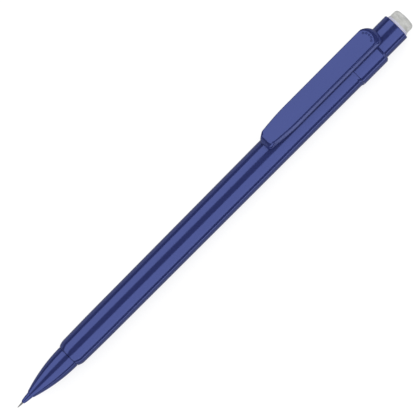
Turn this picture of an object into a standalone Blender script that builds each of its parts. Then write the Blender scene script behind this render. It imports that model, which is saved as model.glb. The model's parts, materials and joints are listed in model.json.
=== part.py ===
"""Push-button mechanical pencil for 0.5 mm lead, as the pieces it comes apart into.

The pencil lies along X with its lead towards -X and its pocket clip up (+Z). The origin
is on the surface it lies on, below the middle of its length. Sizes below are in
millimetres. A "station" is a distance along the pencil's axis from the tip of the lead,
and a "height" is a distance above that axis.
"""
import math

import bmesh
import bpy
from mathutils import Matrix, Vector

MM = 0.001
LENGTH = 140.0  # lead tip to the end of the eraser
SIDES = 32  # facets round every turned piece, with a flat facet at the bottom
LEAD_SIDES = 12
MERGE = 1e-7  # metres

# Outside
SNOUT_START = 1.8  # the plastic tip begins here, so this much lead stands out
SNOUT_END = 4.7
SNOUT_R = 0.9
CONE_START = 4.85
CONE_END = 18.4
CONE_R = 3.24
CONE_ARC_R = 43.3  # the nose cone's side is one arc of this radius, tangent at its rear
BARREL_START = 18.5
BARREL_LIP_R = 3.4
SHOULDER_LENGTH = 1.8
SHOULDER_R = 3.86
GRIP_END = 28.0
GRIP_R = 4.0
BARREL_END = 120.45
BARREL_R = 4.32
FLARE_START = 0.8  # ahead of the barrel's end, where it starts to flare to the collar's size
FLARE_END = 0.3
COLLAR_START = 120.55
COLLAR_END = 129.45
COLLAR_R = 4.62
COLLAR_CHAMFER = 0.72
COLLAR_END_R = 4.1
BUTTON_END = 136.6
BUTTON_R = 3.89
BUTTON_CHAMFER = 0.35
HOLDER_END = 137.25
HOLDER_R = 3.27
ERASER_R = 3.07
ERASER_EDGE = 1.0  # radius of the rounded edge
ERASER_CROWN = 0.2  # how far the end face bulges

# Pocket clip
CLIP_START = 91.3
CLIP_END = 131.8
CLIP_HALF_WIDTH = 3.11
CLIP_NOSE_HALF_WIDTH = 2.52
CLIP_NOSE_TAPER = 8.0  # length over which the clip widens from its nose
CLIP_NOSE_CORNER = 1.4
CLIP_REAR_DEPTH = 2.0  # the rear end is half an ellipse this deep
CLIP_TOP = 6.7
CLIP_WALL_BOTTOM = 4.9
CLIP_WALL = 0.9
CLIP_WEB_BOTTOM = 5.5
CLIP_ROOT_BOTTOM = 5.1
CLIP_ROOT_START = 119.6
CLIP_EDGE = 0.25  # bevel round the outer face
CLIP_FRONT_SLOPE = 1.6  # the nose wall leans back by this much
CLIP_REAR_SLOPE = 0.95
BEAD_STATION = 93.9
BEAD_R = 0.95
BEAD_BOTTOM = 4.33
FOOT_STATION = 126.5
FOOT_SIZE = (2.4, 3.2)  # along the pencil, across it
FOOT_BOTTOM = 4.15
FOOT_GAP = 0.25
HINGE_HEIGHT = 4.4

# Clearances
FIT = 0.05  # radial gap of a piece held in another
FACE_GAP = 0.1  # gap along the axis between faces that meet

# Inside
CONE_LEAD_R = 0.3
RETAINER_START = 7.0
RETAINER_END = 9.0
RETAINER_R = 1.15
LEAD_R = 0.25
LEAD_LENGTH = 60.0
JAW_ROOM_R = 1.35
RING_STOP = 13.65  # the nose cone's inner shoulder, which stops the clutch ring
SLEEVE_END = 30.0
SLEEVE_R = 2.2
SPIGOT_R = 2.8
SPIGOT_END = 26.5
THREAD_START = 19.8
THREAD_PITCH = 0.9
THREAD_DEPTH = 0.2
THREAD_TURNS = 6
RIB_START = 28.1  # rib in the barrel that the sleeve's flange sits against
RIB_END = 31.0
RIB_R = 2.5
BARREL_BORE_R = 2.95
COLLAR_SPIGOT_R = 3.55
COLLAR_SPIGOT_START = 112.0
COLLAR_STEP = 123.2  # stop for the button's shoulder
SKIRT_START = 114.0
SKIRT_R = 2.9
BUTTON_SHOULDER = 125.9
RING_START = 14.7
RING_END = 17.8
RING_R = 1.6
RING_BORE_R = 0.93
SHOULDER_START = 17.9  # the sleeve's inner wall, between clutch ring and spring
SHOULDER_END = 19.0
STEM_R = 0.85
STEM_END = 26.0
JAW_START = 12.9
JAW_R = 1.25
SLIT_END = 21.5
SLIT_WIDTH = 0.25
BUSH_START = 22.0
BUSH_R = 1.1
FLANGE_START = 29.0
FLANGE_END = 30.4
FLANGE_R = 1.65
TUBE_START = 33.0
TUBE_END = 127.4
TUBE_R = 2.0
TUBE_BORE_R = 1.55
BUSH_END = 37.0
SPRING_R = 1.42
SPRING_WIRE_R = 0.175
SPRING_TURNS = 7  # open turns between the two closed end turns
SPRING_STEPS = 14  # points round each turn
SPRING_CLOSED_PITCH = 0.42
SPARE_LEADS = 3
SPARE_START = 37.6
SPARE_SPACING = math.radians(26)
HOLDER_FLOOR = 127.75
HOLDER_FLOOR_THICK = 1.2
HOLDER_WALL = 0.16
PLUG_START = 123.5
PLUG_R = 1.48


def clear_scene():
    for thing in list(bpy.data.objects):
        bpy.data.objects.remove(thing)


def material(name, colour, roughness, metallic=0.0):
    made = bpy.data.materials.new(name)
    made.use_nodes = True
    shader = made.node_tree.nodes["Principled BSDF"]
    shader.inputs["Base Color"].default_value = (*colour, 1.0)
    shader.inputs["Roughness"].default_value = roughness
    shader.inputs["Metallic"].default_value = metallic
    made.diffuse_color = (*colour, 1.0)
    return made


def add(name, mesh_data, station, parent, paint, height=0.0):
    """Place a mesh on the pencil's axis at a station, and give it its material."""
    thing = bpy.data.objects.new(name, mesh_data)
    bpy.context.scene.collection.objects.link(thing)
    thing.parent = parent
    thing.location = ((station - LENGTH / 2) * MM, 0, height * MM)
    if paint is not None:
        mesh_data.materials.append(paint)
    return thing


def mesh_from(bm, name, smooth=True):
    bmesh.ops.recalc_face_normals(bm, faces=bm.faces)
    mesh_data = bpy.data.meshes.new(name)
    bm.to_mesh(mesh_data)
    bm.free()
    if smooth:
        mesh_data.shade_smooth()
        mesh_data.set_sharp_from_angle(angle=math.radians(35))
    return mesh_data


def turned(name, station, profile, parent, paint, sides=SIDES):
    """Spin a closed outline of (station, radius) points about the pencil's axis.

    An outline that starts and ends on the axis is left open there, which makes a
    piece with no bore.
    """
    bm = bmesh.new()
    points = [bm.verts.new(((x - station) * MM, 0, r * MM)) for x, r in profile]
    edges = [bm.edges.new(pair) for pair in zip(points, points[1:])]
    if profile[0][1] > 0:
        edges.append(bm.edges.new((points[-1], points[0])))
    half_step = Matrix.Rotation(math.pi / sides, 3, "X")
    bmesh.ops.rotate(bm, verts=points, cent=(0, 0, 0), matrix=half_step)
    bmesh.ops.spin(
        bm, geom=points + edges, cent=(0, 0, 0), axis=(1, 0, 0),
        angle=math.tau, steps=sides, use_merge=True,
    )
    bmesh.ops.remove_doubles(bm, verts=bm.verts, dist=MERGE)
    return add(name, mesh_from(bm, name), station, parent, paint)


def wave(start, end, low, high, steps):
    """Points from (start, low) to (end, high) along the first quarter of a sine."""
    return [
        (start + (end - start) * i / steps,
         low + (high - low) * math.sin(math.pi / 2 * i / steps))
        for i in range(steps + 1)
    ]


def prism(name, outline, bottom, top, origin, parent):
    """A straight solid between an outline at two levels, kept as a tool for a Boolean."""
    bm = bmesh.new()
    face = bm.faces.new([bm.verts.new(Vector(p) * MM) for p in outline(bottom)])
    grown = bmesh.ops.extrude_face_region(bm, geom=[face])
    moved = [v for v in grown["geom"] if isinstance(v, bmesh.types.BMVert)]
    for vert, place in zip(moved, outline(top)):
        vert.co = Vector(place) * MM
    station, height = origin
    made = add(name, mesh_from(bm, name, smooth=False), station, parent, None, height)
    made.hide_render = True
    made.display_type = "WIRE"
    return made


def box(name, low, high, origin, parent):
    """A box between two corners given as (station, across, height)."""
    station, height = origin

    def outline(level):
        corners = ((low[0], low[1]), (high[0], low[1]), (high[0], high[1]), (low[0], high[1]))
        return [(x - station, y, level - height) for x, y in corners]

    return prism(name, outline, low[2], high[2], origin, parent)


def boolean(target, tool, operation):
    step = target.modifiers.new(f"{operation.lower()}_{tool.name}", "BOOLEAN")
    step.operation = operation
    step.solver = "EXACT"
    step.object = tool


def nose_cone(parent, paint):
    def side_r(x):
        return CONE_R - (CONE_END - x) ** 2 / (2 * CONE_ARC_R)

    steps = 11
    profile = [(SNOUT_START, 0.36), (SNOUT_START + 0.25, 0.5), (2.9, 0.69), (SNOUT_END, SNOUT_R)]
    for i in range(steps + 1):
        # more points where the side curves most, near the snout
        x = CONE_START + (CONE_END - CONE_START) * (i / steps) ** 1.4
        profile.append((x, side_r(x)))
    profile.append((CONE_END, SPIGOT_R - THREAD_DEPTH))
    for turn in range(THREAD_TURNS):
        start = THREAD_START + turn * THREAD_PITCH
        profile += [
            (start, SPIGOT_R - THREAD_DEPTH), (start + 0.25, SPIGOT_R),
            (start + 0.45, SPIGOT_R), (start + 0.7, SPIGOT_R - THREAD_DEPTH),
        ]
    profile += [
        (SPIGOT_END, SPIGOT_R - THREAD_DEPTH), (SPIGOT_END, SLEEVE_R + FIT),
        (RING_STOP, SLEEVE_R + FIT), (RING_STOP, JAW_ROOM_R),
        (RETAINER_END + FACE_GAP, JAW_ROOM_R), (RETAINER_END + FACE_GAP, RETAINER_R + FIT),
        (RETAINER_START - FACE_GAP, RETAINER_R + FIT), (RETAINER_START - FACE_GAP, CONE_LEAD_R),
        (SNOUT_START, CONE_LEAD_R),
    ]
    return turned("nose_cone", SNOUT_START, profile, parent, paint)


def barrel(parent, paint):
    lip_bore = SPIGOT_R + FIT
    profile = [(BARREL_START, lip_bore)]
    profile += wave(BARREL_START, BARREL_START + SHOULDER_LENGTH, BARREL_LIP_R, SHOULDER_R, 5)
    profile += [
        (GRIP_END, GRIP_R), (BARREL_END - FLARE_START, BARREL_R),
        (BARREL_END - FLARE_END, COLLAR_R), (BARREL_END, COLLAR_R - 0.05),
        (BARREL_END, COLLAR_SPIGOT_R + FIT), (COLLAR_SPIGOT_START - FACE_GAP, COLLAR_SPIGOT_R + FIT),
        (COLLAR_SPIGOT_START - FACE_GAP, BARREL_BORE_R), (RIB_END, BARREL_BORE_R),
        (RIB_END, RIB_R), (RIB_START, RIB_R), (RIB_START, lip_bore),
    ]
    return turned("barrel", BARREL_START, profile, parent, paint)


def lead_retainer(parent, paint):
    bore = LEAD_R + 0.02
    profile = [
        (RETAINER_START, bore), (RETAINER_START, RETAINER_R), (RETAINER_END, RETAINER_R),
        (RETAINER_END, 0.6), (RETAINER_END - 0.5, bore),
    ]
    return turned("lead_retainer", RETAINER_START, profile, parent, paint)


def chuck_sleeve(parent, paint):
    start = RING_STOP + FACE_GAP
    flange_start = SPIGOT_END + FACE_GAP
    flange_end = RIB_START - FACE_GAP
    profile = [
        (start, RING_R + FIT), (start, SLEEVE_R), (flange_start, SLEEVE_R),
        (flange_start, SPIGOT_R), (flange_end, SPIGOT_R), (flange_end, SLEEVE_R),
        (SLEEVE_END, SLEEVE_R), (SLEEVE_END, FLANGE_R + FIT), (SHOULDER_END, FLANGE_R + FIT),
        (SHOULDER_END, STEM_R + FIT), (SHOULDER_START, STEM_R + FIT), (SHOULDER_START, RING_R + FIT),
    ]
    return turned("chuck_sleeve", start, profile, parent, paint)


def clutch_ring(parent, paint):
    profile = [
        (RING_START, JAW_R), (RING_START, RING_R), (RING_END, RING_R), (RING_END, RING_BORE_R),
        (RING_START + 0.9, RING_BORE_R),
    ]
    return turned("clutch_ring", RING_START, profile, parent, paint)


def collet(parent, paint):
    """One brass piece: three sprung jaws with a conical head, and a stem."""
    bore = LEAD_R + 0.04
    profile = [
        (JAW_START, bore), (JAW_START, JAW_R - 0.2), (JAW_START + 0.3, JAW_R - 0.02),
        (RING_START - 0.1, JAW_R - 0.02), (RING_START + 0.75, STEM_R), (STEM_END, STEM_R),
        (STEM_END, bore),
    ]
    made = turned("collet", JAW_START, profile, parent, paint, sides=24)
    for i in range(3):
        half = SLIT_WIDTH / 2
        slit = box(
            f"collet_slit_{i + 1}", (JAW_START - 1, -half, 0.05), (SLIT_END, half, JAW_R + 1),
            (JAW_START, 0), parent,
        )
        slit.rotation_euler.x = math.tau * i / 3
        boolean(made, slit, "DIFFERENCE")
    return made


def collet_bush(parent, paint):
    """Plastic bush that joins the collet to the lead tube and funnels leads into it."""
    lead_way = LEAD_R + 0.1
    profile = [
        (BUSH_START, STEM_R + 0.03), (BUSH_START, BUSH_R), (FLANGE_START, BUSH_R),
        (FLANGE_START, FLANGE_R), (FLANGE_END, FLANGE_R), (FLANGE_END, TUBE_BORE_R),
        (TUBE_START - FACE_GAP, TUBE_BORE_R), (TUBE_START, TUBE_BORE_R - FIT),
        (BUSH_END, TUBE_BORE_R - FIT), (BUSH_END, 1.3),
        (FLANGE_END, lead_way), (STEM_END + FACE_GAP, lead_way), (STEM_END + FACE_GAP, STEM_R + 0.03),
    ]
    return turned("collet_bush", BUSH_START, profile, parent, paint)


def lead_tube(parent, paint):
    profile = [
        (TUBE_START, TUBE_BORE_R), (TUBE_START, TUBE_R), (TUBE_END, TUBE_R), (TUBE_END, TUBE_BORE_R),
    ]
    return turned("lead_tube", TUBE_START, profile, parent, paint)


def return_spring(parent, paint):
    """Compression spring between the sleeve's inner wall and the bush's flange."""
    margin = SPRING_WIRE_R + 0.08
    start = SHOULDER_END + margin
    end = FLANGE_START - margin
    open_pitch = (end - start - 2 * SPRING_CLOSED_PITCH) / SPRING_TURNS
    turns = SPRING_TURNS + 2
    curve = bpy.data.curves.new("return_spring", "CURVE")
    curve.dimensions = "3D"
    curve.bevel_depth = SPRING_WIRE_R * MM
    curve.bevel_resolution = 1
    curve.use_fill_caps = True
    spline = curve.splines.new("POLY")
    count = turns * SPRING_STEPS + 1
    spline.points.add(count - 1)
    x = start
    for i in range(count):
        angle = math.tau * i / SPRING_STEPS
        place = ((x - start) * MM, SPRING_R * MM * math.cos(angle), SPRING_R * MM * math.sin(angle))
        spline.points[i].co = (*place, 1)
        closed = i < SPRING_STEPS or i >= count - 1 - SPRING_STEPS
        x += (SPRING_CLOSED_PITCH if closed else open_pitch) / SPRING_STEPS
    return add("return_spring", curve, start, parent, paint)


def rod(name, start, length, parent, paint):
    """A stick of lead with bevelled ends."""
    edge = 0.06
    profile = [
        (start, 0), (start, LEAD_R - edge), (start + edge, LEAD_R),
        (start + length - edge, LEAD_R), (start + length, LEAD_R - edge), (start + length, 0),
    ]
    return turned(name, start, profile, parent, paint, sides=LEAD_SIDES)


def spare_leads(parent, paint):
    """Spare leads side by side along the bottom of the tube."""
    reach = TUBE_BORE_R - LEAD_R - 0.06
    for i in range(SPARE_LEADS):
        stick = rod(f"spare_lead_{i + 1}", SPARE_START + 0.4 * i, LEAD_LENGTH, parent, paint)
        angle = (i - (SPARE_LEADS - 1) / 2) * SPARE_SPACING
        stick.location.y = reach * math.sin(angle) * MM
        stick.location.z = -reach * math.cos(angle) * MM


def collar(parent, paint):
    """Ring behind the barrel: a spigot holds it in the barrel, a window takes the clip's foot."""
    profile = [
        (COLLAR_START, COLLAR_SPIGOT_R), (COLLAR_START, COLLAR_R - 0.05),
        (COLLAR_START + 0.1, COLLAR_R), (COLLAR_END - COLLAR_CHAMFER, COLLAR_R),
        (COLLAR_END, COLLAR_END_R), (COLLAR_END, BUTTON_R + FIT), (COLLAR_STEP, BUTTON_R + FIT),
        (COLLAR_STEP, SKIRT_R + FIT), (COLLAR_SPIGOT_START, SKIRT_R + FIT),
        (COLLAR_SPIGOT_START, COLLAR_SPIGOT_R),
    ]
    made = turned("collar", COLLAR_SPIGOT_START, profile, parent, paint)
    half_x = FOOT_SIZE[0] / 2 + FOOT_GAP
    half_y = FOOT_SIZE[1] / 2 + FOOT_GAP
    window = box(
        "collar_window", (FOOT_STATION - half_x, -half_y, BUTTON_R - 0.6),
        (FOOT_STATION + half_x, half_y, COLLAR_R + 1), (FOOT_STATION, 0), parent,
    )
    boolean(made, window, "DIFFERENCE")
    return made


def clip_outline(level, side_inset, nose_inset, rear_inset):
    """The clip seen from above, from its nose corner round its rear, as (station, across, height)."""
    nose = CLIP_START + nose_inset
    rear = CLIP_END - rear_inset
    half = CLIP_HALF_WIDTH - side_inset
    nose_half = CLIP_NOSE_HALF_WIDTH - side_inset
    corner_steps = 4
    rear_steps = 16
    right = []
    for i in range(corner_steps + 1):
        turn = math.pi / 2 * i / corner_steps
        x = nose + CLIP_NOSE_CORNER * (1 - math.cos(turn))
        right.append((x, -(nose_half - CLIP_NOSE_CORNER * (1 - math.sin(turn)))))
    right.append((nose + CLIP_NOSE_TAPER, -half))
    around = []
    for i in range(rear_steps + 1):
        turn = math.pi * i / rear_steps - math.pi / 2
        x = rear - CLIP_REAR_DEPTH * (1 - math.cos(turn))
        around.append((x, half * math.sin(turn)))
    left = [(x, -y) for x, y in reversed(right)]
    return [(x - FOOT_STATION, y, level - HINGE_HEIGHT) for x, y in right + around + left]


def clip(parent, paint):
    """Channel-shaped pocket clip with its origin on the line that it flexes about."""
    origin = (FOOT_STATION, HINGE_HEIGHT)
    levels = [
        (CLIP_WALL_BOTTOM, 0.0, 0.0, 0.0),
        (CLIP_TOP - CLIP_EDGE, 0.0, CLIP_FRONT_SLOPE - CLIP_EDGE, CLIP_REAR_SLOPE - CLIP_EDGE),
        (CLIP_TOP, CLIP_EDGE, CLIP_FRONT_SLOPE, CLIP_REAR_SLOPE),
    ]
    bm = bmesh.new()
    rings = [[bm.verts.new(Vector(p) * MM) for p in clip_outline(*level)] for level in levels]
    for lower, upper in zip(rings, rings[1:]):
        count = len(lower)
        for i in range(count):
            j = (i + 1) % count
            bm.faces.new((lower[i], lower[j], upper[j], upper[i]))
    bm.faces.new(reversed(rings[0]))
    bm.faces.new(rings[-1])
    made = add("clip", mesh_from(bm, "clip"), FOOT_STATION, parent, paint, HINGE_HEIGHT)

    inner = CLIP_HALF_WIDTH - CLIP_WALL
    channel = box(
        "clip_channel", (BEAD_STATION + 1.2, -inner, CLIP_WALL_BOTTOM - 1),
        (CLIP_ROOT_START, inner, CLIP_WEB_BOTTOM), origin, parent,
    )
    root_room = box(
        "clip_root_room", (CLIP_ROOT_START - 0.4, -inner, CLIP_WALL_BOTTOM - 1),
        (COLLAR_END + 0.25, inner, CLIP_ROOT_BOTTOM), origin, parent,
    )
    foot = box(
        "clip_foot", (FOOT_STATION - FOOT_SIZE[0] / 2, -FOOT_SIZE[1] / 2, FOOT_BOTTOM),
        (FOOT_STATION + FOOT_SIZE[0] / 2, FOOT_SIZE[1] / 2, CLIP_ROOT_BOTTOM + 0.6), origin, parent,
    )

    def bead_outline(across):
        points = []
        steps = 8
        for i in range(steps + 1):
            turn = math.pi + math.pi * i / steps
            x = BEAD_STATION + BEAD_R * math.cos(turn)
            height = BEAD_BOTTOM + BEAD_R * (1 + math.sin(turn))
            points.append((x - FOOT_STATION, across, height - HINGE_HEIGHT))
        return points

    bead = prism("clip_bead", bead_outline, -1.7, 1.7, origin, parent)
    boolean(made, channel, "DIFFERENCE")
    boolean(made, root_room, "DIFFERENCE")
    boolean(made, foot, "UNION")
    boolean(made, bead, "UNION")
    return made


def button(parent, paint):
    bore = TUBE_R + 0.03
    cup = HOLDER_R + FIT
    shelf = HOLDER_FLOOR - FACE_GAP
    profile = [
        (SKIRT_START, bore), (SKIRT_START, SKIRT_R), (BUTTON_SHOULDER, SKIRT_R),
        (BUTTON_SHOULDER, BUTTON_R), (BUTTON_END - BUTTON_CHAMFER, BUTTON_R),
        (BUTTON_END - 0.1, BUTTON_R - 0.15), (BUTTON_END, BUTTON_R - BUTTON_CHAMFER),
        (BUTTON_END, cup), (shelf, cup), (shelf, bore),
    ]
    return turned("push_button", SKIRT_START, profile, parent, paint)


def eraser_holder(parent, paint):
    """Cup that grips the eraser, with a plug that closes the lead tube."""
    inside = HOLDER_R - HOLDER_WALL
    floor_top = HOLDER_FLOOR + HOLDER_FLOOR_THICK
    profile = [
        (PLUG_START, 0), (PLUG_START, PLUG_R - 0.3), (PLUG_START + 0.5, PLUG_R),
        (HOLDER_FLOOR, PLUG_R), (HOLDER_FLOOR, HOLDER_R), (HOLDER_END, HOLDER_R),
        (HOLDER_END, inside), (floor_top, inside), (floor_top, 0),
    ]
    return turned("eraser_holder", PLUG_START, profile, parent, paint)


def eraser(parent, paint):
    start = HOLDER_FLOOR + HOLDER_FLOOR_THICK + FACE_GAP
    edge_x = LENGTH - ERASER_CROWN - ERASER_EDGE
    face_r = ERASER_R - ERASER_EDGE
    profile = [(start, 0), (start, ERASER_R)]
    steps = 4
    for i in range(steps + 1):
        turn = math.pi / 2 * i / steps
        profile.append((edge_x + ERASER_EDGE * math.sin(turn), face_r + ERASER_EDGE * math.cos(turn)))
    profile += [(LENGTH - ERASER_CROWN * 0.25, face_r / 2), (LENGTH, 0)]
    return turned("eraser", start, profile, parent, paint)


def main():
    clear_scene()
    blue = material("blue_plastic", (0.075, 0.09, 0.29), 0.22)
    brass = material("brass", (0.72, 0.52, 0.22), 0.3, 1.0)
    steel = material("spring_steel", (0.55, 0.56, 0.58), 0.28, 1.0)
    black_rubber = material("black_rubber", (0.03, 0.03, 0.03), 0.8)
    black_plastic = material("black_plastic", (0.05, 0.05, 0.055), 0.45)
    clear_plastic = material("natural_plastic", (0.72, 0.74, 0.74), 0.35)
    white_plastic = material("white_plastic", (0.78, 0.8, 0.86), 0.35)
    eraser_rubber = material("eraser_rubber", (0.55, 0.55, 0.54), 0.85)
    graphite = material("graphite", (0.12, 0.12, 0.125), 0.45)

    axis = bpy.data.objects.new("pencil_axis", None)
    bpy.context.scene.collection.objects.link(axis)
    axis.location.z = COLLAR_R * math.cos(math.pi / SIDES) * MM

    nose_cone(axis, blue)
    barrel(axis, blue)
    lead_retainer(axis, black_rubber)
    chuck_sleeve(axis, black_plastic)
    clutch_ring(axis, brass)
    collet(axis, brass)
    collet_bush(axis, white_plastic)
    return_spring(axis, steel)
    lead_tube(axis, clear_plastic)
    rod("lead", 0.0, LEAD_LENGTH, axis, graphite)
    spare_leads(axis, graphite)
    collar(axis, blue)
    clip(axis, blue)
    button(axis, blue)
    eraser_holder(axis, white_plastic)
    eraser(axis, eraser_rubber)


main()
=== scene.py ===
"""Looks of the mechanical pencil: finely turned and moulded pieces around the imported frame.

Lengths are in millimetres until a mesh or a light is made. The pencil lies along X with
its lead towards -X, its pocket clip up, and its axis at height AXIS_Z.
"""
import json
import math

import bmesh
import bpy
from mathutils import Matrix, Vector


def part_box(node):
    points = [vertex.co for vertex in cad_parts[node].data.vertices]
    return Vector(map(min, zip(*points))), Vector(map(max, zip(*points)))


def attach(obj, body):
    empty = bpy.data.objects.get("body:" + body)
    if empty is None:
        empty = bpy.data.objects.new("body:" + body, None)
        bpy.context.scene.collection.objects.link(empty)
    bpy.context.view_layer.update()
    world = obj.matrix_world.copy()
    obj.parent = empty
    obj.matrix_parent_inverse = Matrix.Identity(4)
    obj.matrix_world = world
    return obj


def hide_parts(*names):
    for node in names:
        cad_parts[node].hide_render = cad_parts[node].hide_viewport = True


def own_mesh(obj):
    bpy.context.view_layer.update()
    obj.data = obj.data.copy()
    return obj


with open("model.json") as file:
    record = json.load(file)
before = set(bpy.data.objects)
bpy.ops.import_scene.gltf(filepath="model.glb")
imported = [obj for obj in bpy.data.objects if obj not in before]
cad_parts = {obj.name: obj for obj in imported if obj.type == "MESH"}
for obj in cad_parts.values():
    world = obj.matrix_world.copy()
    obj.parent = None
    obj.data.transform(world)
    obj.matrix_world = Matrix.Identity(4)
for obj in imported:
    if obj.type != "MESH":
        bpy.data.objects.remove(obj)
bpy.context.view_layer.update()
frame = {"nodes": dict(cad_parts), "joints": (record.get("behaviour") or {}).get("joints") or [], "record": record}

MM = 0.001
CAD_SIDES = 32  # facets of the frame's turned pieces, with a flat facet at the bottom
CAD_LEAD_SIDES = 12  # facets of its lead


# ---------------------------------------------------------------- places from the frame

def span(node):
    """First and last station of a node along the pencil."""
    low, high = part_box(node)
    return low.x / MM, high.x / MM


def radius(node, sides=CAD_SIDES):
    """Outer radius of a turned node, from its width over the flats."""
    low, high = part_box(node)
    return (high.y - low.y) / 2 / MM / math.cos(math.pi / sides)


BODY_OF = {
    node: body for body, nodes in frame["record"]["behaviour"]["bodies"].items() for node in nodes
}
SLOT_OF = {part["node"]: part["material_slot"] for part in frame["record"]["subparts"]}
JOINTS = {joint["name"]: joint for joint in frame["joints"]}
COUPLED = {row["joint"]: row["ratio"] for row in frame["record"]["behaviour"]["couplings"]}

AXIS_Z = (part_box("barrel")[0].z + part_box("barrel")[1].z) / 2 / MM
LEAD_TIP, LEAD_END = span("lead")
LEAD_R = radius("lead", CAD_LEAD_SIDES)
SNOUT_X, SPIGOT_END = span("nose_cone")
CONE_X = LEAD_TIP + 18.4  # rear of the nose cone's visible side
BARREL_X, BARREL_END = span("barrel")
COLLAR_SPIGOT_X, COLLAR_END = span("collar")
COLLAR_X = BARREL_END + 0.1  # front of the collar's visible side, behind a narrow seam
COLLAR_R = radius("collar")
SKIRT_X, BUTTON_END = span("push_button")
BUTTON_R = radius("push_button")
PLUG_X, HOLDER_END = span("eraser_holder")
HOLDER_R = radius("eraser_holder")
ERASER_X, ERASER_END = span("eraser")
ERASER_R = radius("eraser")
CLIP_X, CLIP_END = span("clip")
CLIP_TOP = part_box("clip")[1].z / MM - AXIS_Z
CLIP_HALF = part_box("clip")[1].y / MM
FOOT_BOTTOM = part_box("clip")[0].z / MM - AXIS_Z
HINGE_X = JOINTS["clip_flex"]["pos_m"][0] / MM


# ---------------------------------------------------------------- camera, floor and light

VIEW_TILT = math.radians(31)  # the camera leans this far from straight above the clip
PENCIL_ANGLE = math.radians(45.15)  # the pencil's slant in the picture
CAMERA_DISTANCE = 900
PICTURE_WIDTH = 106.8  # width of the picture at the pencil
AIM_ASIDE = 0.74  # the picture's middle lies this far from the pencil's axis, on the clip's side
AIM_ALONG = 0.07
SENSOR = 36
TENT = 1.05  # radiance of the white surroundings
FLOOR_GLOW = 0.79
FLOOR_REACH = 3  # metres
CARD_LIFT = 0.05  # a card on the floor lies this far above it
ARC_DISTANCE = 500
ARC_FRONT, ARC_REAR = -900, 400
FRONT_CARD_X, REAR_CARD_X = -450, 450
LAMP_PLACE = (0.3, -0.45, 0.75)  # metres
LAMP_SIZE = 0.5
LAMP_POWER = 3.0


def make_camera():
    """A long lens that looks square onto the pencil's length."""
    toward = Vector((0, -math.sin(VIEW_TILT), math.cos(VIEW_TILT)))
    along = Vector((1, 0, 0))
    aside = Vector((0, math.cos(VIEW_TILT), math.sin(VIEW_TILT)))
    right = along * math.cos(PENCIL_ANGLE) - aside * math.sin(PENCIL_ANGLE)
    up = along * math.sin(PENCIL_ANGLE) + aside * math.cos(PENCIL_ANGLE)
    aim = Vector((AIM_ALONG, 0, AXIS_Z)) + aside * AIM_ASIDE
    data = bpy.data.cameras.new("camera")
    data.sensor_width = SENSOR
    data.lens = SENSOR * CAMERA_DISTANCE / PICTURE_WIDTH
    data.clip_start = 0.01
    data.clip_end = 20
    camera = bpy.data.objects.new("camera", data)
    bpy.context.scene.collection.objects.link(camera)
    camera.matrix_world = Matrix.Translation((aim + toward * CAMERA_DISTANCE) * MM) @ Matrix(
        (right, up, toward)
    ).transposed().to_4x4()
    bpy.context.scene.camera = camera


def card(name, corners, radiance):
    """A dark studio card that shows only as a line in the gloss; it casts no shade."""
    data = bpy.data.meshes.new(name)
    data.from_pydata([Vector(corner) * MM for corner in corners], [], [(0, 1, 2, 3)])
    shade = bpy.data.materials.new(name)
    shade.use_nodes = True
    shader = shade.node_tree.nodes["Principled BSDF"]
    shader.inputs["Base Color"].default_value = (0, 0, 0, 1)
    shader.inputs["Specular IOR Level"].default_value = 0
    shader.inputs["Emission Color"].default_value = (1, 1, 1, 1)
    shader.inputs["Emission Strength"].default_value = radiance
    data.materials.append(shade)
    made = bpy.data.objects.new(name, data)
    made.visible_camera = False
    made.visible_diffuse = False
    made.visible_shadow = False
    bpy.context.scene.collection.objects.link(made)


def arc_card(name, low_angle, high_angle, radiance):
    """A card facing the pencil between two angles from straight up towards -Y."""
    corners = []
    stations = (ARC_FRONT, ARC_REAR)
    for angle in (low_angle, high_angle):
        turn = math.radians(angle)
        y, z = -ARC_DISTANCE * math.sin(turn), AXIS_Z + ARC_DISTANCE * math.cos(turn)
        corners += [(x, y, z) for x in stations]
        stations = stations[::-1]
    card(name, corners, radiance)


def end_card(name, x, low_y, high_y, top, radiance):
    """A card standing across one end of the pencil."""
    card(name, ((x, low_y, 0), (x, high_y, 0), (x, high_y, top), (x, low_y, top)), radiance)


def floor_card(name, low_y, high_y, radiance, low_x=-300, high_x=300):
    """A card lying on the floor along the pencil."""
    corners = ((low_x, low_y), (high_x, low_y), (high_x, high_y), (low_x, high_y))
    card(name, [(x, y, CARD_LIFT) for x, y in corners], radiance)


def make_lights():
    """A white tent, with dark cards that draw the long dark lines in the gloss; the two lying on the floor beside
    the pencil are painted shade, its contact shadow as seen in the gloss.
    """
    world = bpy.data.worlds.new("tent")
    world.use_nodes = True
    background = world.node_tree.nodes["Background"]
    background.inputs["Color"].default_value = (1.0, 1.0, 1.0, 1.0)
    background.inputs["Strength"].default_value = TENT
    bpy.context.scene.world = world
    arc_card("card_by_camera", 3, 43, 0.05)
    arc_card("card_behind", -72, -48, 0.02)
    arc_card("card_behind_low", -90, -72, 0.3)
    end_card("card_at_button_end", REAR_CARD_X, -350, 700, 800, 0.05)
    end_card("card_at_lead_end", FRONT_CARD_X, -200, 700, 330, 0.05)
    floor_card("floor_card_behind", 3, 400, 0.3)
    # Painted shadow: these two dark cards on the floor beside the pencil stand in for its contact shadow, seen
    # only in its gloss.
    floor_card("painted_shadow_card_far", -21, -10.4, 0.0)
    floor_card("painted_shadow_card_close", -8.6, -2.5, 0.3)
    floor_card("floor_card_at_button_end", -250, 3, 0.05, 90, REAR_CARD_X)
    data = bpy.data.lights.new("key", "AREA")
    data.shape = "DISK"
    data.size = LAMP_SIZE
    data.energy = LAMP_POWER
    key = bpy.data.objects.new("key", data)
    key.location = LAMP_PLACE
    key.rotation_euler = (-key.location).to_track_quat("-Z", "Y").to_euler()
    key.visible_camera = False
    key.visible_glossy = False
    bpy.context.scene.collection.objects.link(key)
    bpy.context.scene.view_settings.view_transform = "Standard"


# ---------------------------------------------------------------- materials

USUAL = (0.3, 0.7)  # a noise stays between these nearly everywhere


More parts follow.
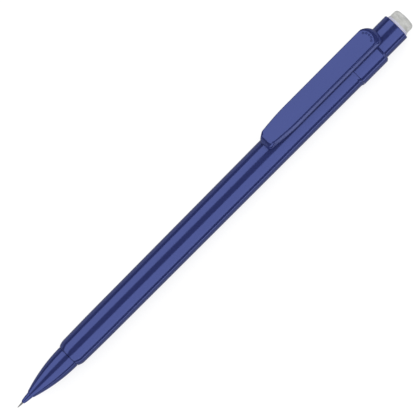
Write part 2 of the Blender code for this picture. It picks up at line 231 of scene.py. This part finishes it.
class Paint:
    """A material with short ways to add and join nodes."""

    def __init__(self, name, **values):
        self.material = bpy.data.materials.new(name)
        self.material.use_nodes = True
        self.tree = self.material.node_tree
        self.shader = self.tree.nodes["Principled BSDF"]
        for socket, value in values.items():
            self.shader.inputs[socket.replace("_", " ")].default_value = value
        self.place = self.add("ShaderNodeTexCoord").outputs["Object"]

    def add(self, kind, **settings):
        made = self.tree.nodes.new(kind)
        for key, value in settings.items():
            setattr(made, key, value)
        return made

    def put(self, value, socket):
        if isinstance(value, bpy.types.NodeSocket):
            self.tree.links.new(value, socket)
        else:
            socket.default_value = value

    def math(self, operation, first, second):
        made = self.add("ShaderNodeMath", operation=operation)
        self.put(first, made.inputs[0])
        self.put(second, made.inputs[1])
        return made.outputs[0]

    def noise(self, size, detail=3.0, roughness=0.55, stretch=(1, 1, 1)):
        """Noise whose grains measure about size millimetres, drawn out by stretch."""
        mapping = self.add("ShaderNodeMapping")
        mapping.inputs["Scale"].default_value = [1 / s for s in stretch]
        self.put(self.place, mapping.inputs["Vector"])
        made = self.add("ShaderNodeTexNoise")
        made.inputs["Scale"].default_value = 1 / (size * MM)
        made.inputs["Detail"].default_value = detail
        made.inputs["Roughness"].default_value = roughness
        self.put(mapping.outputs["Vector"], made.inputs["Vector"])
        return made.outputs["Fac"]

    def fit(self, value, low, high, to_low=0.0, to_high=1.0):
        """A value moved from between low and high to between to_low and to_high, and kept there."""
        made = self.add("ShaderNodeMapRange")
        self.put(value, made.inputs["Value"])
        made.inputs["From Min"].default_value = low
        made.inputs["From Max"].default_value = high
        made.inputs["To Min"].default_value = to_low
        made.inputs["To Max"].default_value = to_high
        return made.outputs["Result"]

    def blend(self, factor, first, second):
        """A colour between two colours."""
        made = self.add("ShaderNodeMix", data_type="RGBA")
        self.put(factor, made.inputs["Factor"])
        for name, colour in (("A", first), ("B", second)):
            socket = next(s for s in made.inputs if s.name == name and s.type == "RGBA")
            self.put(colour if isinstance(colour, bpy.types.NodeSocket) else (*colour, 1.0), socket)
        return next(s for s in made.outputs if s.type == "RGBA")

    def attribute(self, name):
        return self.add("ShaderNodeAttribute", attribute_name=name).outputs["Fac"]

    def colour(self, value):
        self.put(value, self.shader.inputs["Base Color"])

    def rough(self, value):
        self.put(value, self.shader.inputs["Roughness"])

    def bump(self, height, depth, strength=1.0):
        """Relief of depth millimetres, on top of any relief already there."""
        made = self.add("ShaderNodeBump")
        made.inputs["Strength"].default_value = strength
        made.inputs["Distance"].default_value = depth * MM
        self.put(height, made.inputs["Height"])
        normal = self.shader.inputs["Normal"]
        if normal.is_linked:
            self.put(normal.links[0].from_socket, made.inputs["Normal"])
        self.put(made.outputs["Normal"], normal)


def blue_plastic():
    """Glossy moulding: faint flow marks, specks, fine rubs along it and slightly paler edges."""
    paint = Paint(
        "blue_plastic", Specular_Tint=(0.30, 0.385, 1.0, 1.0), Specular_IOR_Level=1.0, IOR=1.88
    )
    flow = paint.fit(paint.noise(9, stretch=(3, 1, 1)), *USUAL)
    speck = paint.fit(paint.noise(0.35, detail=2), 0.35, 0.75, 0.0, 0.25)
    worn = paint.fit(paint.noise(0.6), 0.4, 0.65, 0.0, 0.5)
    rim = paint.math("MULTIPLY", paint.attribute("edge"), worn)
    body = paint.blend(flow, (0.016, 0.021, 0.090), (0.019, 0.025, 0.104))
    speckled = paint.blend(speck, body, (0.024, 0.032, 0.122))
    paint.colour(paint.blend(rim, speckled, (0.060, 0.072, 0.210)))
    rub = paint.noise(0.16, detail=2, stretch=(60, 1, 1))
    haze = paint.fit(paint.noise(4), *USUAL, 0.11, 0.17)
    satin = paint.math("ADD", paint.fit(rub, 0.55, 0.8, 0.0, 0.05), haze)
    paint.rough(paint.math("ADD", satin, paint.math("MULTIPLY", rim, 0.2)))
    paint.bump(paint.noise(1.6, detail=1), 0.0025)
    paint.bump(rub, 0.0012)
    return paint.material


def white_plastic():
    """Satin moulding, a pale lavender among the blue."""
    paint = Paint("white_plastic")
    cloud = paint.fit(paint.noise(1.5), *USUAL)
    paint.colour(paint.blend(cloud, (0.40, 0.40, 0.51), (0.46, 0.46, 0.57)))
    paint.rough(paint.fit(paint.noise(0.4), *USUAL, 0.38, 0.50))
    paint.bump(paint.noise(0.3), 0.004)
    return paint.material


def eraser_vinyl():
    """Soft grey vinyl: clouds, a chalky grain, and graphite smudges where the end has rubbed."""
    paint = Paint("eraser_vinyl", Specular_IOR_Level=0.25)
    grain = paint.noise(0.25, detail=4, roughness=0.7)
    cloud = paint.noise(1.6, stretch=(0.5, 1.4, 1.4))
    chalk = paint.blend(paint.fit(cloud, 0.32, 0.66), (0.35, 0.355, 0.34), (0.53, 0.535, 0.52))
    dusty = paint.blend(paint.fit(grain, 0.35, 0.7, 0.0, 0.5), chalk, (0.29, 0.29, 0.285))
    along = paint.add("ShaderNodeSeparateXYZ")
    paint.put(paint.place, along.inputs["Vector"])
    tip = paint.fit(along.outputs["X"], (ERASER_END - 1.5) * MM, (ERASER_END - 0.3) * MM)
    smudge = paint.math("MULTIPLY", tip, paint.fit(paint.noise(0.4), 0.38, 0.66, 0.08, 0.58))
    paint.colour(paint.blend(smudge, dusty, (0.26, 0.26, 0.27)))
    paint.rough(paint.fit(grain, *USUAL, 0.7, 0.9))
    paint.bump(grain, 0.03)
    paint.bump(cloud, 0.05, 0.5)
    return paint.material


def graphite():
    """Drawn lead: streaks along it and a slight metallic sheen."""
    paint = Paint("graphite", Metallic=0.25)
    streak = paint.noise(0.05, stretch=(12, 1, 1))
    paint.colour(paint.blend(paint.fit(streak, *USUAL), (0.10, 0.10, 0.105), (0.19, 0.19, 0.20)))
    paint.rough(paint.fit(streak, *USUAL, 0.35, 0.55))
    paint.bump(streak, 0.006)
    return paint.material


def metal(name, dark, light, grain_stretch):
    """Turned or drawn metal with fine tool marks along grain_stretch."""
    paint = Paint(name, Metallic=1.0)
    marks = paint.noise(0.08, detail=2, stretch=grain_stretch)
    stain = paint.fit(paint.noise(1.2), *USUAL, 0.0, 0.5)
    mix = paint.math("ADD", paint.fit(marks, *USUAL, 0.0, 0.5), stain)
    paint.colour(paint.blend(mix, dark, light))
    paint.rough(paint.fit(marks, *USUAL, 0.22, 0.38))
    paint.bump(marks, 0.003)
    return paint.material


def plain_moulding(name, dark, light, roughness, grain=0.4, depth=0.004):
    """Moulded plastic or rubber without gloss: clouds, and a grain of depth millimetres."""
    paint = Paint(name)
    cloud = paint.fit(paint.noise(grain * 5), *USUAL)
    paint.colour(paint.blend(cloud, dark, light))
    paint.rough(paint.fit(paint.noise(grain), *USUAL, roughness - 0.07, roughness + 0.07))
    paint.bump(paint.noise(grain), depth)
    return paint.material


def floor_paint():
    """Pale lighting table, faintly luminous so that shadows on it stay light."""
    paint = Paint(
        "floor_paint", Specular_IOR_Level=0.1,
        Emission_Color=(1, 1, 1, 1), Emission_Strength=FLOOR_GLOW,
    )
    cloud = paint.fit(paint.noise(60), *USUAL)
    paint.colour(paint.blend(cloud, (0.215, 0.215, 0.215), (0.23, 0.23, 0.23)))
    paint.rough(0.9)
    return paint.material


MATERIALS = {
    "blue_plastic": blue_plastic(),
    "white_plastic": white_plastic(),
    "eraser_rubber": eraser_vinyl(),
    "graphite": graphite(),
    "black_rubber": plain_moulding(
        "black_rubber", (0.022, 0.022, 0.022), (0.035, 0.035, 0.035), 0.8, grain=0.2, depth=0.01
    ),
    "black_plastic": plain_moulding(
        "black_plastic", (0.035, 0.035, 0.04), (0.05, 0.05, 0.055), 0.42
    ),
    "natural_plastic": plain_moulding(
        "natural_plastic", (0.66, 0.68, 0.68), (0.75, 0.77, 0.77), 0.32
    ),
    "brass": metal("brass", (0.60, 0.42, 0.17), (0.78, 0.58, 0.27), (1, 30, 30)),
    "spring_steel": metal("spring_steel", (0.42, 0.43, 0.45), (0.62, 0.63, 0.65), (10, 10, 10)),
}


# ---------------------------------------------------------------- shapes

SIDES = 160  # facets of a turned piece
CORNER_SHARE = 0.48  # a rounding takes at most this share of each side at its corner
FULL_WEAR_BEND = math.radians(20)  # an outline that bends this much wears like a full edge
SHARP_ANGLE = math.radians(40)  # faces that meet at more than this keep a crisp edge
TINY = 1e-4  # radii closer than this are the same
WIDE_BEND = 1000  # a corner radius that takes all of a corner's share
WELD = 0.002  # points of a finished piece closer than this become one


def rounded(outline, closed=True, steps=5):
    """A flat outline with its corners rounded.

    Each point is (x, r) or (x, r, corner radius). Gives (x, r, edge) points, where edge
    is 1 in the middle of a rounded corner, less where the outline bends little, and 0
    away from corners.
    """
    count = len(outline)
    result = []
    for i, point in enumerate(outline):
        here = Vector(point[:2])
        turn = point[2] if len(point) > 2 else 0
        if not turn or (not closed and i in (0, count - 1)):
            result.append((*here, 0.0))
            continue
        back = Vector(outline[i - 1][:2]) - here
        ahead = Vector(outline[(i + 1) % count][:2]) - here
        half = back.angle(ahead) / 2
        reach = min(turn / math.tan(half), CORNER_SHARE * min(back.length, ahead.length))
        sharp = min(1, (math.pi - 2 * half) / FULL_WEAR_BEND)
        first = here + back.normalized() * reach
        last = here + ahead.normalized() * reach
        for k in range(steps + 1):
            t = k / steps
            bent = first * (1 - t) ** 2 + here * 2 * t * (1 - t) + last * t**2
            result.append((*bent, sharp * (1 - abs(2 * t - 1))))
    return result


def smooth(data):
    """Shade a mesh smoothly except where its faces meet sharply."""
    data.shade_smooth()
    data.set_sharp_from_angle(angle=SHARP_ANGLE)


def finish_piece(name, bm, edges=None):
    """Turn a bmesh in millimetres, with Z up from the pencil's axis, into an object.

    edges gives each point's wear, from 0 to 1, which the blue plastic shows.
    """
    bmesh.ops.recalc_face_normals(bm, faces=bm.faces)
    place = Matrix.Scale(MM, 4) @ Matrix.Translation((0, 0, AXIS_Z))
    bmesh.ops.transform(bm, verts=bm.verts, matrix=place)
    data = bpy.data.meshes.new(name)
    bm.to_mesh(data)
    bm.free()
    smooth(data)
    if edges is not None:
        data.attributes.new("edge", "FLOAT", "POINT").data.foreach_set("value", edges)
    piece = bpy.data.objects.new(name, data)
    bpy.context.scene.collection.objects.link(piece)
    return piece


def turned(name, outline, sides=SIDES, closed=True, relief=None, relief_r=None):
    """Revolve an outline of (station, radius, corner radius) points about the pencil's axis.

    An outline that isn't closed starts and ends on the axis. Where the outline is at
    relief_r, relief(station, angle) is added to the radius.
    """
    points = rounded(outline, closed)
    bm = bmesh.new()
    edges = []
    rings = []
    for x, r, edge in points:
        if r < TINY:
            rings.append([bm.verts.new((x, 0, 0))])
            edges.append(0.0)
            continue
        ring = []
        for i in range(sides):
            turn = math.tau * i / sides
            out = r + relief(x, turn) if relief and abs(r - relief_r) < TINY else r
            ring.append(bm.verts.new((x, -out * math.sin(turn), out * math.cos(turn))))
            edges.append(edge)
        rings.append(ring)
    pairs = list(zip(rings, rings[1:])) + ([(rings[-1], rings[0])] if closed else [])
    for first, second in pairs:
        for i in range(sides):
            j = (i + 1) % sides
            corners = [
                first[i % len(first)], first[j % len(first)],
                second[j % len(second)], second[i % len(second)],
            ]
            bm.faces.new(list(dict.fromkeys(corners)))  # a point on the axis counts once
    return finish_piece(name, bm, edges)


def block(name, low, high, bevel=0.0):
    """A box between two corners, for joining to a piece or cutting it."""
    bm = bmesh.new()
    bmesh.ops.create_cube(bm, size=1)
    for vert in bm.verts:
        vert.co = [low[k] if vert.co[k] < 0 else high[k] for k in range(3)]
    if bevel:
        bmesh.ops.bevel(bm, geom=bm.edges[:], offset=bevel, segments=3, profile=0.5, affect="EDGES")
    return finish_piece(name, bm)


def apply_boolean(piece, tool, operation):
    step = piece.modifiers.new(operation.lower(), "BOOLEAN")
    step.operation = operation
    step.solver = "EXACT"
    step.object = tool
    bpy.context.view_layer.update()
    evaluated = piece.evaluated_get(bpy.context.evaluated_depsgraph_get())
    data = bpy.data.meshes.new_from_object(evaluated)
    piece.modifiers.clear()
    piece.data = data
    bpy.data.objects.remove(tool)


def cut(piece, tool):
    apply_boolean(piece, tool, "DIFFERENCE")


def join(piece, tool):
    apply_boolean(piece, tool, "UNION")


def weld(piece):
    """Close up the specks that cuts and joins leave, and split faces of many sides."""
    bm = bmesh.new()
    bm.from_mesh(piece.data)
    bmesh.ops.remove_doubles(bm, verts=bm.verts, dist=WELD * MM)
    bmesh.ops.dissolve_degenerate(bm, edges=bm.edges, dist=WELD * MM)
    many = [face for face in bm.faces if len(face.verts) > 4]
    bmesh.ops.triangulate(bm, faces=many, ngon_method="BEAUTY")
    bm.to_mesh(piece.data)
    bm.free()


def stand_for(piece, node):
    """Let a piece take a node's place: its body, its material slot and its finish."""
    slot = SLOT_OF[node]
    piece.data.materials.append(MATERIALS[slot])
    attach(piece, BODY_OF[node])
    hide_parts(node)
    return piece


def sine_rise(start, end, low, high, steps):
    """Points from (start, low) to (end, high) along the first quarter of a sine."""
    return [
        (start + (end - start) * i / steps, low + (high - low) * math.sin(math.pi / 2 * i / steps))
        for i in range(steps + 1)
    ]


# ---------------------------------------------------------------- turned pieces

PLAY = 0.05  # between pieces that slide or turn in each other
RIM_DROP = 0.04  # the edges on both sides of the collar's seam lie this much lower

CONE_R = 3.24
CONE_ARC_R = 43.3
CONE_STEPS = 40
SNOUT_LENGTH = 2.8
LEAD_BORE_R = 0.3
SPIGOT_R = 2.8
THREAD_X = LEAD_TIP + 19.6
THREAD_PITCH = 2 * math.pi / COUPLED["nose_turn"] / MM
THREAD_DEPTH = 0.2
THREAD_TURNS = 6
THREAD_FADE = 0.3  # the ridge rises and sinks over this part of a turn
THREAD_FOOT, THREAD_FLANK = 0.85, 0.5  # the ridge's foot and its two flanks, in pitches
THREAD_STEP = 0.075  # between the rings that shape the thread
SEAM_DEPTH = 0.34  # of the seam between the nose cone and the barrel
SEAM_REST = 0.02  # what is left of its gap below that

LIP_R = 3.4
SHOULDER_LENGTH = 1.8
SHOULDER_R = 3.86
SHOULDER_STEPS = 16
GRIP_X = LEAD_TIP + 28
GRIP_R = 4.0
BARREL_R = 4.32
SLEEVE_ROOM_R = 2.5
TUBE_ROOM_R = 2.95  # bore around the lead tube, in the barrel and the collar

COLLAR_SPIGOT_R = 3.55
COLLAR_STEP_R = 4.27  # where the collar's rear chamfer steepens
COLLAR_REAR_R = 3.98
WINDOW_HALF = (1.45, 1.85)  # of the hole for the clip's foot, along and across
WINDOW_BOTTOM, WINDOW_TOP = 3.2, 6

SKIRT_R = 2.9
SKIRT_LENGTH = 11.9
SKIRT_BORE_R = 2.03
PLUG_R = 1.48
PLUG_LENGTH = 4.25
HOLDER_WALL = 0.16
HOLDER_TAPER = 0.11
ERASER_EDGE = 1.0
ERASER_CROWN = 0.2
LEAD_SIDES = 48
LEAD_TAPER = 1.3
LEAD_TIP_R = LEAD_R * 0.35


def nose_cone():
    """Ogive cone with a snout, a bore stepped for the pieces inside, and a threaded spigot."""
    snout_end = SNOUT_X + SNOUT_LENGTH
    cone_start = snout_end + 0.15
    retainer_x, throat_x, chamber_x = SNOUT_X + 5.1, SNOUT_X + 7.3, SPIGOT_END - 12.8
    retainer_r, throat_r, chamber_r = 1.2, 1.35, 2.25
    root = SPIGOT_R - THREAD_DEPTH
    seat = BARREL_X - SEAM_REST

    def side_r(x):
        return CONE_R - (CONE_X - x) ** 2 / (2 * CONE_ARC_R)

    def thread(x, turn):
        """A right-handed ridge that rises out of the spigot and sinks back into it."""
        along = (x - THREAD_X) / THREAD_PITCH - turn / math.tau
        if not 0 <= along <= THREAD_TURNS:
            return 0.0
        fade = min(1.0, along / THREAD_FADE, (THREAD_TURNS - along) / THREAD_FADE)
        across = abs(along % 1.0 - 0.5) * 2
        return THREAD_DEPTH * fade * min(1.0, max(0.0, (THREAD_FOOT - across) / THREAD_FLANK))

    outline = [
        (SNOUT_X, LEAD_BORE_R, 0.03), (SNOUT_X, 0.42, 0.06), (SNOUT_X + 0.35, 0.56, 0.2),
        (SNOUT_X + 1.1, 0.70, 0.8), (snout_end, 0.9, 0.3),
    ]
    for i in range(CONE_STEPS):
        x = cone_start + (CONE_X - cone_start) * (i / CONE_STEPS) ** 1.3
        outline.append((x, side_r(x), 0.25 if i == 0 else 0))
    outline += [
        (CONE_X, CONE_R, 0.12), (CONE_X, CONE_R - SEAM_DEPTH),
        (seat, CONE_R - SEAM_DEPTH, 0.02), (seat, root, 0.03),
    ]
    count = round((THREAD_TURNS + 1) * THREAD_PITCH / THREAD_STEP)
    outline += [(THREAD_X + THREAD_STEP * i, root) for i in range(count + 1)]
    outline += [
        (SPIGOT_END, root, 0.1), (SPIGOT_END, chamber_r, 0.05), (chamber_x, chamber_r),
        (chamber_x, throat_r), (throat_x, throat_r), (throat_x, retainer_r),
        (retainer_x, retainer_r), (retainer_x, LEAD_BORE_R),
    ]
    body = turned("nose_cone_body", outline, relief=thread, relief_r=root)
    return stand_for(body, "nose_cone")


def barrel():
    """Slightly tapered tube with a rounded front shoulder, flared to the collar at its rear."""
    bore = SPIGOT_R + PLAY
    collar_bore, collar_stop = 3.6, COLLAR_SPIGOT_X - 0.1
    sleeve_x, sleeve_end = BARREL_X + 9.8, BARREL_X + 12.7
    shoulder_end = BARREL_X + SHOULDER_LENGTH
    outline = [(BARREL_X, bore, 0.05), (BARREL_X, LIP_R, 0.2)]
    outline += sine_rise(BARREL_X, shoulder_end, LIP_R, SHOULDER_R, SHOULDER_STEPS)[3:]
    outline += [
        (GRIP_X, GRIP_R, WIDE_BEND), (BARREL_END - 0.7, BARREL_R, 0.3),
        (BARREL_END - 0.1, COLLAR_R, 0.12), (BARREL_END, COLLAR_R - RIM_DROP, 0.04),
        (BARREL_END, collar_bore, 0.05), (collar_stop, collar_bore), (collar_stop, TUBE_ROOM_R),
        (sleeve_end, TUBE_ROOM_R), (sleeve_end, SLEEVE_ROOM_R), (sleeve_x, SLEEVE_ROOM_R),
        (sleeve_x, bore),
    ]
    return stand_for(turned("barrel_body", outline), "barrel")


def collar():
    """Ring with a chamfered rear, a spigot in the barrel and a window for the clip's foot."""
    bore = BUTTON_R + PLAY
    bore_stop = COLLAR_END - 6.25
    outline = [
        (COLLAR_X, COLLAR_SPIGOT_R), (COLLAR_X, COLLAR_R - RIM_DROP, 0.03),
        (COLLAR_X + 0.12, COLLAR_R, 0.06), (COLLAR_END - 0.72, COLLAR_R, 0.1),
        (COLLAR_END - 0.2, COLLAR_STEP_R, 0.08), (COLLAR_END, COLLAR_REAR_R, 0.03),
        (COLLAR_END, bore), (bore_stop, bore), (bore_stop, TUBE_ROOM_R),
        (COLLAR_SPIGOT_X, TUBE_ROOM_R), (COLLAR_SPIGOT_X, COLLAR_SPIGOT_R, 0.1),
    ]
    ring = turned("collar_ring", outline)
    along, across = WINDOW_HALF
    cut(ring, block(
        "window_cutter",
        (HINGE_X - along, -across, WINDOW_BOTTOM), (HINGE_X + along, across, WINDOW_TOP),
    ))
    return stand_for(ring, "collar")


def push_button():
    """Cap with a cup for the eraser holder and a skirt around the lead tube."""
    cup = HOLDER_R + PLAY
    shelf = PLUG_X + 4.15
    skirt_end = SKIRT_X + SKIRT_LENGTH
    outline = [
        (SKIRT_X, SKIRT_BORE_R, 0.1), (SKIRT_X, SKIRT_R, 0.15), (skirt_end, SKIRT_R),
        (skirt_end, BUTTON_R, 0.15), (BUTTON_END, BUTTON_R, 0.38), (BUTTON_END, cup, 0.06),
        (shelf, cup), (shelf, SKIRT_BORE_R, 0.1),
    ]
    return stand_for(turned("push_button_cap", outline), "push_button")


def eraser_holder():
    """Cup with a slightly tapered rim, on a plug that closes the lead tube."""
    floor_top = ERASER_X - 0.1
    plug_end = PLUG_X + PLUG_LENGTH
    inside = HOLDER_R - HOLDER_WALL
    outline = [
        (PLUG_X, 0), (PLUG_X, PLUG_R, 0.4), (plug_end, PLUG_R), (plug_end, HOLDER_R, 0.2),
        (HOLDER_END - 0.6, HOLDER_R, 0.15), (HOLDER_END, HOLDER_R - HOLDER_TAPER, 0.03),
        (HOLDER_END, inside, 0.01), (floor_top, inside), (floor_top, 0),
    ]
    return stand_for(turned("eraser_holder_cup", outline, closed=False), "eraser_holder")


def eraser():
    """Cylinder with a softly rounded edge and a slightly crowned end."""
    edge_steps = 14
    crown_steps = 6
    side_end = ERASER_END - ERASER_CROWN - ERASER_EDGE
    outline = [(ERASER_X, 0), (ERASER_X, ERASER_R, 0.1), (HOLDER_END + 0.5, ERASER_R)]
    for i in range(edge_steps + 1):
        turn = math.pi / 2 * i / edge_steps
        outline.append(
            (side_end + ERASER_EDGE * math.sin(turn), ERASER_R - ERASER_EDGE * (1 - math.cos(turn)))
        )
    face_r = ERASER_R - ERASER_EDGE
    for i in range(1, crown_steps + 1):
        r = face_r * (1 - i / crown_steps)
        outline.append((ERASER_END - ERASER_CROWN * (r / face_r) ** 2, r))
    return stand_for(turned("eraser_plug", outline, closed=False), "eraser")


def lead():
    """Lead with a tip worn down by writing."""
    outline = [
        (LEAD_TIP, 0), (LEAD_TIP, LEAD_TIP_R, 0.04), (LEAD_TIP + LEAD_TAPER, LEAD_R, 0.6),
        (LEAD_END, LEAD_R, 0.03), (LEAD_END, 0),
    ]
    return stand_for(turned("lead_stick_fine", outline, sides=LEAD_SIDES, closed=False), "lead")


# ---------------------------------------------------------------- clip

# Heights are above the pencil's axis.
WALL_BOTTOM = 4.9
WALL = 0.9
CHANNEL_TOP = 5.5
CHANNEL_X, CHANNEL_END = CLIP_X + 3.7, CLIP_X + 27.9
ROOT_BOTTOM = 5.1
ROOT_X, ROOT_END = CLIP_X + 27.5, COLLAR_END + 0.25
BELOW = 3  # the cutters start this low, which is clear of the clip
NOSE_HALF = 2.59
NOSE_CORNER = 1.4
FRONT_SLOPE = 1.5  # the nose leans back this far from bottom to top
TAPER_X = CLIP_X + FRONT_SLOPE + NOSE_CORNER
TAPER_LENGTH = 7.5
REAR_DEPTH = 2.0  # the rear end, seen from above, is half an ellipse this deep
REAR_SLOPE = 1.2  # the rear end leans forward this far from bottom to top
CORNER_STEPS = 12
REAR_STEPS = 48
CHAMFER_WIDTH = 0.31
CHAMFER_DROP = 0.2
BOTTOM_FILLET = 0.12
FOOT_HALF = (1.2, 1.6)  # along and across
BEAD_R = 0.95
BEAD_HALF = 1.7
BEAD_X = CLIP_X + 2.5
BEAD_Z = FOOT_BOTTOM + 0.18 + BEAD_R
DOTS = 5
DOT_SIZE = (0.3, 0.38, 0.2)
DOT_SINK = 0.02  # a dot's middle lies this far below the clip's face
DOT_ARC_X = CLIP_END - 3.6
DOT_ARC = (1.6, 2.0)  # the arc they stand on, along and across
DOT_SPREAD = math.radians(56)


def taper_half(x):
    """Half the clip's width where it narrows to its nose; its side walls stand upright."""
    widen = math.sin(math.pi / 2 * min((x - TAPER_X) / TAPER_LENGTH, 1))
    return NOSE_HALF + (CLIP_HALF - NOSE_HALF) * widen


def clip_ring(level, inset):
    """The clip's outline at a height above the axis, with every side moved in by inset."""
    rise = (level - WALL_BOTTOM) / (CLIP_TOP - WALL_BOTTOM)
    nose = CLIP_X + FRONT_SLOPE * rise**1.4 + inset
    rear = CLIP_END - REAR_SLOPE * rise**2 - inset
    half = CLIP_HALF - inset
    corner = max(NOSE_CORNER - inset, 0.2)
    start = nose + corner
    end = TAPER_X + TAPER_LENGTH
    corner_half = taper_half(start) - inset
    side = []
    for i in range(CORNER_STEPS + 1):
        turn = math.pi / 2 * i / CORNER_STEPS
        side.append((start - corner * math.cos(turn), corner_half - corner * (1 - math.sin(turn))))
    for i in range(1, CORNER_STEPS + 1):
        x = start + (end - start) * i / CORNER_STEPS
        side.append((x, taper_half(x) - inset))
    around = []
    for i in range(REAR_STEPS + 1):
        turn = math.pi * i / REAR_STEPS - math.pi / 2
        around.append((rear - REAR_DEPTH * (1 - math.cos(turn)), half * math.sin(turn)))
    right = [(x, -y) for x, y in side]
    left = list(reversed(side))
    return [(x, y, level) for x, y in right + around + left]


def bead():
    """Rounded rib under the clip's nose that grips the pocket."""
    bm = bmesh.new()
    steps = 24
    outline = []
    for i in range(steps + 1):
        turn = math.pi + math.pi * i / steps
        outline.append((BEAD_X + BEAD_R * math.cos(turn), BEAD_Z + BEAD_R * math.sin(turn)))
    ends = []
    for across in (-BEAD_HALF, BEAD_HALF):
        ends.append([bm.verts.new((x, across, z)) for x, z in outline])
    bm.faces.new(ends[0])
    bm.faces.new(reversed(ends[1]))
    for i in range(len(outline)):
        j = (i + 1) % len(outline)
        bm.faces.new((ends[0][i], ends[1][i], ends[1][j], ends[0][j]))
    return finish_piece("bead", bm)


def ornament_dot(x, y):
    """A small raised dome on the clip's face."""
    bm = bmesh.new()
    bmesh.ops.create_uvsphere(bm, u_segments=20, v_segments=10, radius=1)
    place = Matrix.Translation((x, y, CLIP_TOP - DOT_SINK)) @ Matrix.Diagonal((*DOT_SIZE, 1))
    bmesh.ops.transform(bm, verts=bm.verts, matrix=place)
    return finish_piece("dot", bm)


def clip_rings():
    """The clip's levels from its bottom to its top, as (height, inset, wear)."""
    rings = [(WALL_BOTTOM, BOTTOM_FILLET + 0.06, 0.0)]
    fillet_steps = 5
    for i in range(fillet_steps + 1):
        turn = math.pi / 2 * i / fillet_steps
        level = WALL_BOTTOM + BOTTOM_FILLET * (1 - math.cos(turn))
        rings.append((level, BOTTOM_FILLET * (1 - math.sin(turn)), 0.5))
    wall = [(WALL_BOTTOM + rise, 0) for rise in (0.4, 0.7, 1.0, 1.3)]
    top = [
        (CLIP_TOP - CHAMFER_DROP, 0, 0.08), (CLIP_TOP, CHAMFER_WIDTH, 0.08),
        (CLIP_TOP, CHAMFER_WIDTH + 0.3),
    ]
    return rings + rounded(wall + top, closed=False)


def clip():
    """Channel-shaped pocket clip, with a foot for the collar's window and a bead at its nose."""
    rings = clip_rings()
    bm = bmesh.new()
    loops = [[bm.verts.new(p) for p in clip_ring(level, inset)] for level, inset, _ in rings]
    count = len(loops[0])
    for lower, upper in zip(loops, loops[1:]):
        for i in range(count):
            j = (i + 1) % count
            bm.faces.new((lower[i], lower[j], upper[j], upper[i]))
    bm.faces.new(list(reversed(loops[0])))
    bm.faces.new(loops[-1])
    edges = [wear for _, _, wear in rings for _ in range(count)]
    piece = finish_piece("pocket_clip_body", bm, edges)
    inner = CLIP_HALF - WALL
    along, across = FOOT_HALF
    foot_top = ROOT_BOTTOM + 0.6
    cut(piece, block(
        "channel", (CHANNEL_X, -inner, BELOW), (CHANNEL_END, inner, CHANNEL_TOP), 0.25
    ))
    cut(piece, block("root_room", (ROOT_X, -inner, BELOW), (ROOT_END, inner, ROOT_BOTTOM), 0.2))
    join(piece, block(
        "foot", (HINGE_X - along, -across, FOOT_BOTTOM), (HINGE_X + along, across, foot_top), 0.08
    ))
    join(piece, bead())
    for i in range(DOTS):
        turn = DOT_SPREAD * (2 * i / (DOTS - 1) - 1)
        place = (DOT_ARC_X + DOT_ARC[0] * math.cos(turn), DOT_ARC[1] * math.sin(turn))
        join(piece, ornament_dot(*place))
    weld(piece)
    smooth(piece.data)
    return stand_for(piece, "clip")


# ---------------------------------------------------------------- return spring

WIRE_R = 0.175
COIL_R = 1.42
COIL_TURNS = 9
CLOSED_PITCH = 0.42  # of the first and the last turn


def return_spring():
    """Steel helix with closed ends, which shortens as the button goes in."""
    start, end = span("return_spring")
    length = end - start - 2 * WIRE_R
    open_pitch = (length - 2 * CLOSED_PITCH) / (COIL_TURNS - 2)
    steps = 48
    around = 14
    bm = bmesh.new()
    rings = []
    x = start + WIRE_R
    for i in range(COIL_TURNS * steps + 1):
        angle = math.tau * i / steps
        out = Vector((0, math.cos(angle), math.sin(angle)))
        centre = out * COIL_R + Vector((x, 0, 0))
        ring = []
        for k in range(around):
            turn = math.tau * k / around
            aside = out * WIRE_R * math.cos(turn) + Vector((WIRE_R * math.sin(turn), 0, 0))
            ring.append(bm.verts.new(centre + aside))
        rings.append(ring)
        closed = i < steps or i >= (COIL_TURNS - 1) * steps
        x += (CLOSED_PITCH if closed else open_pitch) / steps
    for first, second in zip(rings, rings[1:]):
        for k in range(around):
            j = (k + 1) % around
            bm.faces.new((first[k], first[j], second[j], second[k]))
    bm.faces.new(rings[0])
    bm.faces.new(list(reversed(rings[-1])))
    spring = stand_for(finish_piece("return_spring_coil", bm), "return_spring")
    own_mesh(spring)


# ---------------------------------------------------------------- the scene

def make_floor():
    """A plain square far wider than the picture."""
    bm = bmesh.new()
    bmesh.ops.create_grid(bm, x_segments=1, y_segments=1, size=FLOOR_REACH)
    data = bpy.data.meshes.new("floor")
    bm.to_mesh(data)
    bm.free()
    floor = bpy.data.objects.new("floor", data)
    bpy.context.scene.collection.objects.link(floor)
    data.materials.append(floor_paint())


def paint_frame():
    """Give each node that stays its own finish."""
    for name, node in frame["nodes"].items():
        node.data.materials.clear()
        node.data.materials.append(MATERIALS[SLOT_OF[name]])


make_camera()
make_floor()
make_lights()
paint_frame()
nose_cone()
barrel()
collar()
clip()
push_button()
eraser_holder()
eraser()
lead()
return_spring()
